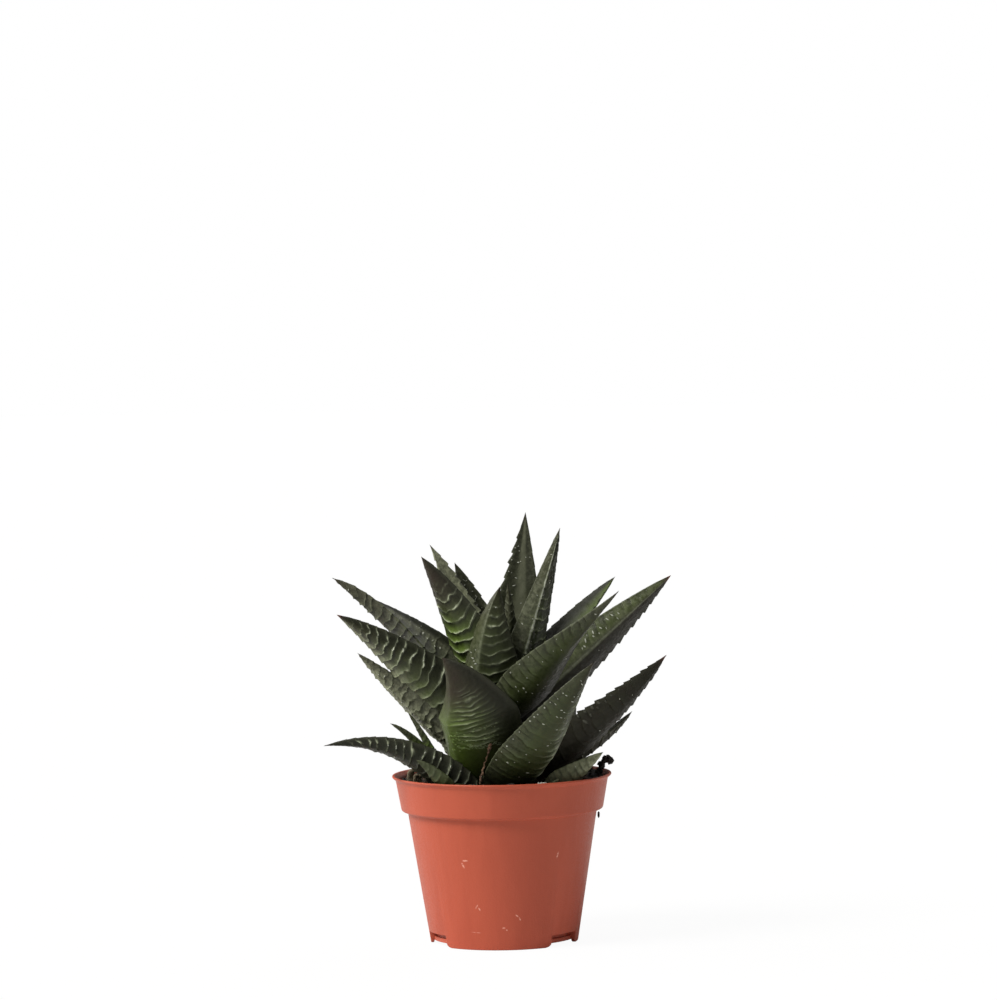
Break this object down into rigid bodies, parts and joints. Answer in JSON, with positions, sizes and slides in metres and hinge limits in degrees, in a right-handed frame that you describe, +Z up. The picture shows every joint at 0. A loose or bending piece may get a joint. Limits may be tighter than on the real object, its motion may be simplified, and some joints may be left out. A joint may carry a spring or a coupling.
{
  "type": "potted haworthia",
  "caption": "Small succulent rosette of thick, pointed, cross-ridged leaves on a short stem, rooted in soil in a round tapered nursery pot with a deep rim band.",
  "frame": {"origin": "on the surface that the pot stands on, at the middle of the pot's foot", "axes": "+Z up; the front, from which the plant is best seen, faces -Y; +X is to the right from the front"},
  "size_m": [0.1345, 0.0953, 0.1655],
  "materials": {
    "pot_plastic": "matt injection-moulded plastic, terracotta coloured",
    "potting_soil": "rough near-black peat with bark fibres",
    "stem_bark": "rough brown plant stem with old leaf bases",
    "leaf_green": "firm waxy skin, semi-matt, with pale raised ridges and tubercles",
    "offset_green": "younger waxy skin, lighter green",
    "dried_bract": "dry papery brown"
  },
  "bodies": {
    "root": {"pot": "pot_plastic", "soil": "potting_soil", "stem": "stem_bark", "leaf_01": "leaf_green", "leaf_02": "leaf_green", "leaf_03": "leaf_green", "leaf_04": "leaf_green", "leaf_05": "leaf_green", "leaf_06": "leaf_green", "leaf_07": "leaf_green", "leaf_08": "leaf_green", "leaf_09": "leaf_green", "leaf_10": "leaf_green", "leaf_11": "leaf_green", "leaf_12": "leaf_green", "leaf_13": "leaf_green", "leaf_14": "leaf_green", "leaf_15": "leaf_green", "leaf_16": "leaf_green", "leaf_17": "leaf_green", "leaf_18": "leaf_green", "leaf_19": "leaf_green", "leaf_20": "leaf_green", "leaf_21": "leaf_green", "leaf_22": "leaf_green", "leaf_23": "leaf_green", "leaf_24": "leaf_green", "leaf_25": "leaf_green", "leaf_26": "leaf_green", "leaf_27": "leaf_green", "leaf_28": "leaf_green", "leaf_29": "leaf_green", "leaf_30": "leaf_green", "offset_left": "offset_green", "offset_front": "offset_green", "offset_right": "offset_green", "bract": "dried_bract"}
  },
  "joints": []
}
